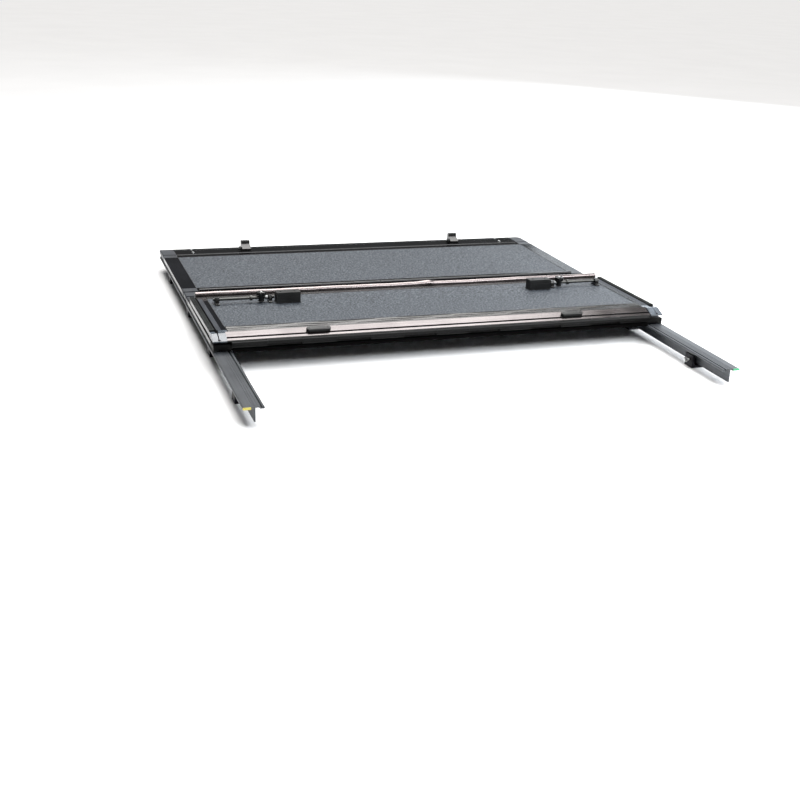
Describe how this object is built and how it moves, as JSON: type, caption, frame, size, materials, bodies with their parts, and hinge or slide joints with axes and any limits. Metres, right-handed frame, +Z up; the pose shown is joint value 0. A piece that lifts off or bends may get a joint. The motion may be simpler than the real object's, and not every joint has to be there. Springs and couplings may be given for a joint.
{
  "type": "tonneau cover",
  "caption": "Hard folding truck bed cover: framed flat panels on two clamped side rails, rear panel folded forward with its underside up, double front hinge and slide bolt latches",
  "frame": {"origin": "centre of the bounding box on the plane of the clamps' flat bottoms, with the rear panel folded forward", "axes": "+Z up, +Y along the truck towards the cab, +X to the right seen from behind the truck"},
  "size_m": [1.6, 1.745, 0.1426],
  "materials": {
    "side_rail_aluminium": "satin extruded, lightly scuffed",
    "black_frame": "satin black anodised extrusion",
    "bright_frame": "glossy dark extrusion that catches the sky",
    "panel_skin": "charcoal moulded skin with a fine light speckle",
    "foam_core": "rigid foam",
    "foam_tape": "closed cell foam",
    "yellow_plug": "moulded",
    "green_plug": "moulded",
    "clamp_metal": "black powder coat",
    "zinc_steel": "zinc plated",
    "pin_steel": "ground",
    "latch_rod_steel": "ground and plated",
    "knob_plastic": "moulded",
    "black_plastic": "moulded",
    "grey_cap_plastic": "moulded, satin",
    "black_rubber": "extruded, ribbed",
    "bulb_rubber": "glossy extruded tube",
    "bracket_metal": "black gloss coat"
  },
  "bodies": {
    "frame": {"right_side_rail": "side_rail_aluminium", "left_side_rail": "side_rail_aluminium", "rail_tapes": "foam_tape", "right_rail_end_plug": "green_plug", "left_rail_end_plug": "yellow_plug", "right_clamp_bodies": "clamp_metal", "left_clamp_bodies": "clamp_metal", "clamp_screws": "zinc_steel", "clamp_feet": "black_plastic", "front_panel_top_skin": "panel_skin", "front_panel_bottom_skin": "panel_skin", "front_panel_core": "foam_core", "front_panel_right_rail": "black_frame", "front_panel_left_rail": "black_frame", "front_panel_header_rail": "black_frame", "front_panel_hinge_rail": "black_frame", "front_panel_front_caps": "grey_cap_plastic", "front_panel_rear_caps": "grey_cap_plastic", "front_panel_side_seals": "black_rubber", "header_seal": "black_rubber", "stack_rest_brackets": "bracket_metal", "header_screws": "zinc_steel"},
    "hinge_link": {"hinge_link": "black_frame", "hinge_link_caps": "grey_cap_plastic", "front_hinge_pin": "pin_steel", "middle_hinge_pin": "pin_steel"},
    "middle_panel": {"middle_panel_top_skin": "panel_skin", "middle_panel_bottom_skin": "panel_skin", "middle_panel_core": "foam_core", "middle_panel_right_rail": "black_frame", "middle_panel_left_rail": "black_frame", "middle_panel_front_rail": "black_frame", "middle_panel_rear_rail": "black_frame", "middle_panel_front_caps": "grey_cap_plastic", "middle_panel_rear_caps": "black_plastic", "middle_panel_side_seals": "black_rubber", "middle_panel_hinge_seal": "black_rubber", "rear_hinge_pin": "pin_steel"},
    "rear_panel": {"rear_panel_top_skin": "panel_skin", "rear_panel_bottom_skin": "panel_skin", "rear_panel_core": "foam_core", "rear_panel_right_rail": "black_frame", "rear_panel_left_rail": "black_frame", "rear_panel_hinge_rail": "bright_frame", "rear_panel_tailgate_rail": "black_frame", "rear_panel_hinge_caps": "grey_cap_plastic", "rear_panel_tailgate_caps": "black_plastic", "rear_panel_side_seals": "black_rubber", "tailgate_bulb_seal": "bulb_rubber", "bumper_blocks": "black_rubber", "rest_pads": "black_rubber", "latch_outer_guides": "bracket_metal", "latch_inner_guides": "bracket_metal"},
    "right_latch": {"right_latch_rod": "latch_rod_steel", "right_latch_knob": "knob_plastic"},
    "left_latch": {"left_latch_rod": "latch_rod_steel", "left_latch_knob": "knob_plastic"}
  },
  "joints": [
    {"name": "front_hinge_fold", "type": "hinge", "parent": "frame", "child": "hinge_link", "pos_m": [0, 0.2185, 0.086], "axis": [-1, 0, 0], "range_deg": [0, 90]},
    {"name": "middle_hinge_fold", "type": "hinge", "parent": "hinge_link", "child": "middle_panel", "pos_m": [0, 0.1655, 0.086], "axis": [-1, 0, 0], "range_deg": [0, 88.4]},
    {"name": "rear_panel_fold", "type": "hinge", "parent": "middle_panel", "child": "rear_panel", "pos_m": [0, -0.3985, 0.086], "axis": [1, 0, 0], "range_deg": [0, 180.8]},
    {"name": "right_latch_slide", "type": "slide", "parent": "rear_panel", "child": "right_latch", "axis": [1, 0, 0], "range_m": [0, 0.022]},
    {"name": "left_latch_slide", "type": "slide", "parent": "rear_panel", "child": "left_latch", "axis": [-1, 0, 0], "range_m": [0, 0.022]}
  ]
}
